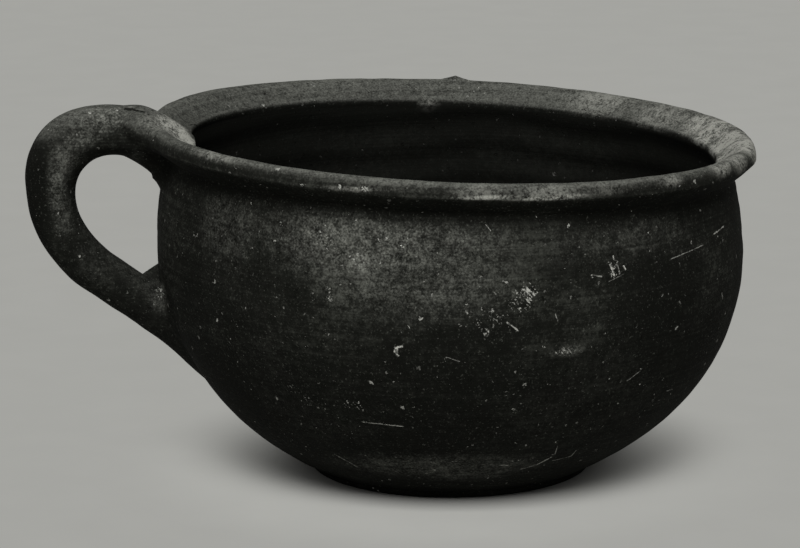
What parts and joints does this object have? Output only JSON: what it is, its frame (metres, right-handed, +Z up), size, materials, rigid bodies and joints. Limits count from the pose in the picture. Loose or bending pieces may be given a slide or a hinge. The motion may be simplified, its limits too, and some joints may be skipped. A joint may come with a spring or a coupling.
{
  "type": "coarse ware cup",
  "caption": "Hand-thrown coarse ware cup with a rounded belly, flat base, turned-out sloping rim and a round loop handle luted over the lip and against the belly.",
  "frame": {"origin": "centre of the flat base, on the surface that the cup stands on", "axes": "+Z up along the thrown body's axis, -X towards the handle, +Y to the far side when the handle is on the left"},
  "size_m": [0.1564, 0.1308, 0.0808],
  "materials": {
    "coarse_ware": "unglazed, fired dark grey, gritty and matt, with pale lime flecks and scratches",
    "luting_clay": "unglazed, fired dark grey, smoothed by hand, matt"
  },
  "bodies": {
    "root": {"thrown_body": "coarse_ware", "handle": "coarse_ware", "upper_luting": "luting_clay", "lower_luting": "luting_clay"}
  },
  "joints": []
}
